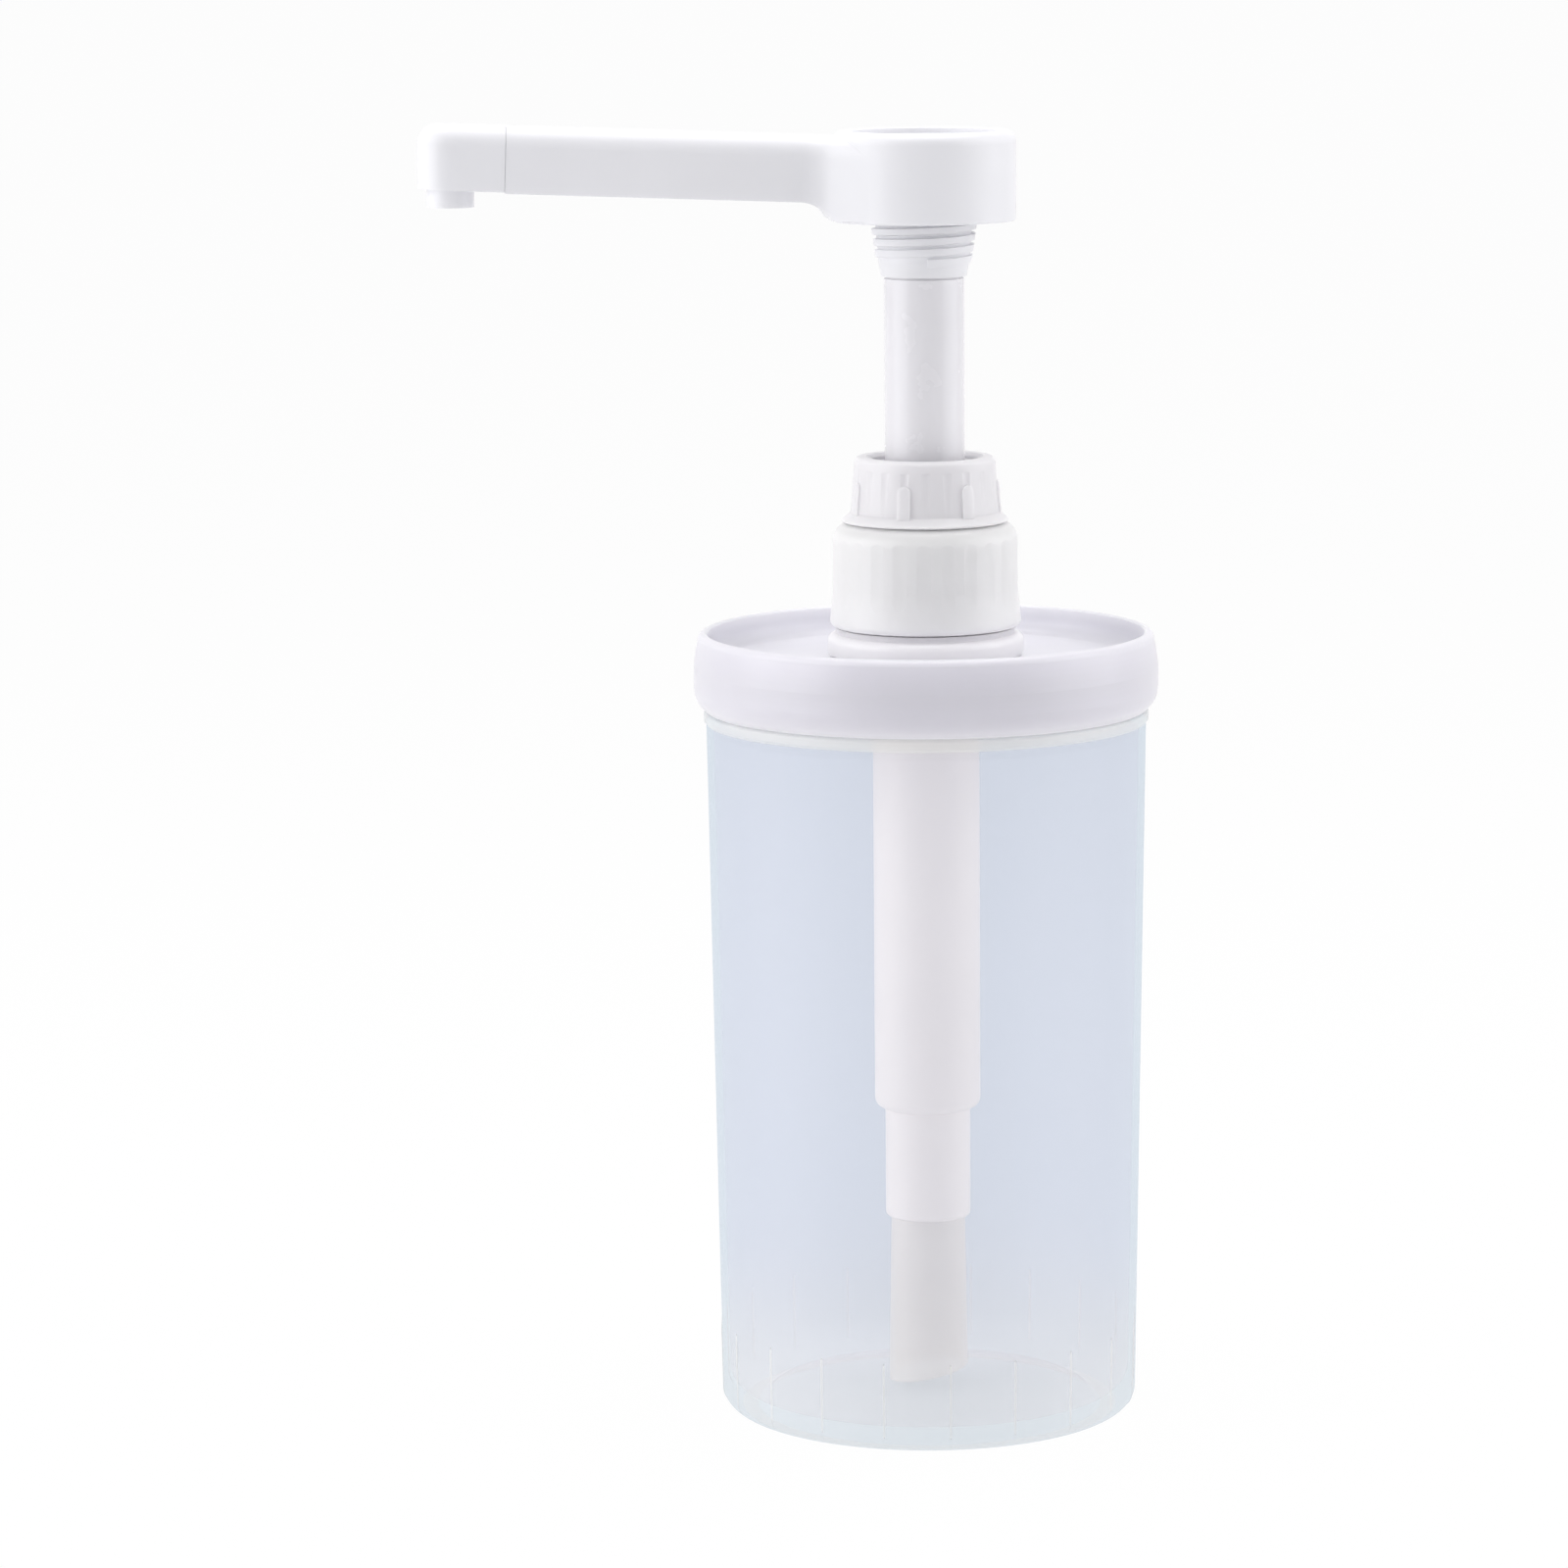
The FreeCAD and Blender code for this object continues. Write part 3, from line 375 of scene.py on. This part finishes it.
def outside_cone(tree, vector, foot_radius, lean, step, value=1.0):
    """A value where the surface lies outside a slightly conical wall, and 0 inside it."""
    parts = tree.nodes.new("ShaderNodeSeparateXYZ")
    tree.links.new(vector, parts.inputs[0])
    flat = tree.nodes.new("ShaderNodeCombineXYZ")
    tree.links.new(parts.outputs["X"], flat.inputs["X"])
    tree.links.new(parts.outputs["Y"], flat.inputs["Y"])
    radius = tree.nodes.new("ShaderNodeVectorMath")
    radius.operation = "LENGTH"
    tree.links.new(flat.outputs[0], radius.inputs[0])
    wall = maths(tree, "MULTIPLY_ADD", parts.outputs["Z"], lean, foot_radius)
    over = maths(tree, "SUBTRACT", radius.outputs["Value"], wall)
    return rescaled(tree, over, (STEP_START * step, step), (0.0, value))


def by_height(tree, vector, levels):
    """A value that follows the height, from a list of heights and values."""
    top = levels[-1][0]
    parts = tree.nodes.new("ShaderNodeSeparateXYZ")
    tree.links.new(vector, parts.inputs[0])
    share = maths(tree, "DIVIDE", parts.outputs["Z"], top)
    ramp = tree.nodes.new("ShaderNodeValToRGB")
    ramp.color_ramp.interpolation = "EASE"
    stops = ramp.color_ramp.elements
    # A new stop changes the places of the later ones, so the end stops come first
    stops[0].color = opaque([levels[0][1]] * 3)
    stops[1].color = opaque([levels[-1][1]] * 3)
    for height, value in levels[1:-1]:
        stops.new(height / top).color = opaque([value] * 3)
    tree.links.new(share, ramp.inputs["Fac"])
    return ramp.outputs["Color"]


def foam(name, colour):
    material, tree, shader = new_material(name)
    cells = tree.nodes.new("ShaderNodeTexVoronoi")
    cells.inputs["Scale"].default_value = FOAM_SCALE
    tree.links.new(stretched(tree), cells.inputs["Vector"])
    distance = cells.outputs["Distance"]
    shade = shade_between(tree, distance, toned(colour, 0.9), colour)
    tree.links.new(shade, shader.inputs["Base Color"])
    tree.links.new(bumps(tree, distance, FOAM_DEPTH), shader.inputs["Normal"])
    shader.inputs["Roughness"].default_value = 0.85
    return material


def steel(name, colour, roughness, grain_scale):
    material, tree, shader = new_material(name)
    lines = noise(tree, stretched(tree, grain_scale), DRAWN_SCALE, 3)
    shade = shade_between(tree, lines, toned(colour, 0.9), colour)
    tree.links.new(shade, shader.inputs["Base Color"])
    gloss = ranged(tree, lines, roughness * 0.8, roughness * 1.3)
    tree.links.new(gloss, shader.inputs["Roughness"])
    tree.links.new(bumps(tree, lines, DRAWN_DEPTH), shader.inputs["Normal"])
    shader.inputs["Metallic"].default_value = 1.0
    return material


def dress():
    """One finish for each node of the model but the spring, which wind_spring replaces."""
    jar_walls = [
        (0.0, 0.14),
        (8 * MM, 0.14),
        (45 * MM, 0.0),
        (157.2 * MM, 0.0),
        (157.6 * MM, 0.45),
        (159.9 * MM, 0.6),
        (168 * MM, 1.0),
    ]
    jar_ribs = (46.93 * MM, 0.0151, 0.1 * MM, 0.6)
    dense = (0.81, 0.805, 0.805)
    tube = (0.93, 0.91, 0.88)
    tube_walls = [(0.0, 0.0), (8 * MM, 0.1), (50 * MM, 1.0), (60 * MM, 1.0)]
    white = (0.83, 0.83, 0.86)
    warm = (0.81, 0.8, 0.83)
    foam_white = (0.82, 0.82, 0.83)
    ball = (0.78, 0.79, 0.8)
    deep = {"body": 0.8, "depth": 4 * MM}
    turned = (1.4 * MM, 0.004 * MM)
    # Painted light: the lid is painted paler within its rim, for the light that falls into its
    # recess
    painted_light_in_recess = (48.6 * MM, (0.74, 0.735, 0.78))
    finishes = {
        "jar": frosted("jar_frosted", (0.69, 0.69, 0.82), 0.19, 0.36, jar_walls, dense, jar_ribs),
        "lid": moulded("lid_white", (0.69, 0.68, 0.73), 0.3, lines=turned, inside=painted_light_in_recess, **deep),
        # Painted light: the fitting is painted paler than the head's white, for light the lid
        # throws back
        "neck_fitting": moulded("fitting_white", (0.92, 0.9, 0.95), 0.34, **deep),
        # The closure's pinkish white is its own; its paleness beyond the head's white is painted
        # light
        "closure": moulded("closure_white", (1.0, 0.985, 1.0), 0.36, **deep),
        "collar": moulded("collar_white", (0.78, 0.77, 0.79), 0.34, body=0.8, depth=3 * MM),
        "stem": moulded("stem_white", warm, 0.26, body=0.3),
        "head": moulded("head_white", white, 0.36, body=0.3),
        "nozzle_tip": moulded("tip_white", white, 0.36, body=0.3),
        "housing": moulded("housing_white", (0.92, 0.89, 0.875), 0.4),
        "dip_tube": frosted("tube_natural", tube, 0.5, 0.4, tube_walls, tube),
        "back_nut": moulded("nut_white", white, 0.45),
        "ball_cage": moulded("cage_white", white, 0.45),
        "piston_retainer": moulded("retainer_white", white, 0.42),
        "piston": moulded("piston_soft", (0.8, 0.81, 0.83), 0.5),
        "fitting_gasket": moulded("gasket_soft", (0.7, 0.7, 0.73), 0.6),
        "lid_liner": foam("liner_foam", foam_white),
        "closure_gasket": foam("gasket_foam", foam_white),
        "outlet_ball": steel("ball_steel_upper", ball, 0.12, (1, 1, 1)),
        "inlet_ball": steel("ball_steel_lower", ball, 0.12, (1, 1, 1)),
    }
    for name, material in finishes.items():
        data = nodes[name].data
        if not data.materials:
            data.materials.append(material)
        for place in range(len(data.materials)):
            data.materials[place] = material
    # Light passes the jar as if it weren't there, which a real wall wouldn't let it do
    nodes["jar"].visible_shadow = False
    nodes["jar"].visible_diffuse = False


def wind_spring():
    """Coil of even pitch that stands in for the model's spring."""
    low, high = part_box("spring")
    mean = (high.x - low.x) / 2 - WIRE_RADIUS
    bottom = low.z + WIRE_RADIUS
    top = high.z - WIRE_RADIUS
    steps = COIL_STEPS_PER_TURN * SPRING_TURNS
    verts = []
    faces = []
    for step in range(steps + 1):
        angle = 2 * math.pi * step / COIL_STEPS_PER_TURN
        height = bottom + (top - bottom) * (step / steps)
        centre = Vector((mean * math.cos(angle), mean * math.sin(angle), height))
        out = Vector((math.cos(angle), math.sin(angle), 0))
        for side in range(COIL_SIDES):
            turn = 2 * math.pi * side / COIL_SIDES
            round_wire = out * math.cos(turn) + Vector((0, 0, math.sin(turn)))
            verts.append(centre + WIRE_RADIUS * round_wire)
    for step in range(steps):
        for side in range(COIL_SIDES):
            here = step * COIL_SIDES + side
            beside = step * COIL_SIDES + (side + 1) % COIL_SIDES
            faces.append((here, beside, beside + COIL_SIDES, here + COIL_SIDES))
    faces.append(tuple(reversed(range(COIL_SIDES))))
    faces.append(tuple(range(steps * COIL_SIDES, (steps + 1) * COIL_SIDES)))
    mesh = bpy.data.meshes.new("spring_coil")
    mesh.from_pydata(verts, [], faces)
    for face in mesh.polygons:
        face.use_smooth = len(face.vertices) == 4
    mesh.materials.append(steel("spring_wire", (0.7, 0.71, 0.72), 0.28, (1, 1, 6)))
    coil = bpy.data.objects.new("spring_coil", mesh)
    bpy.context.scene.collection.objects.link(coil)
    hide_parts("spring")
    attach(coil, "pump")
    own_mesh(coil)


right, away = place_camera()
light_sky()
for name, (side, depth, rise), width, height, power in LAMPS:
    place = LAMP_AIM + right * side + away * depth + UP * rise
    softbox(name, place, LAMP_AIM, width, height, power)
lay_floor()
dress()
wind_spring()

bpy.context.scene.view_settings.view_transform = "Standard"
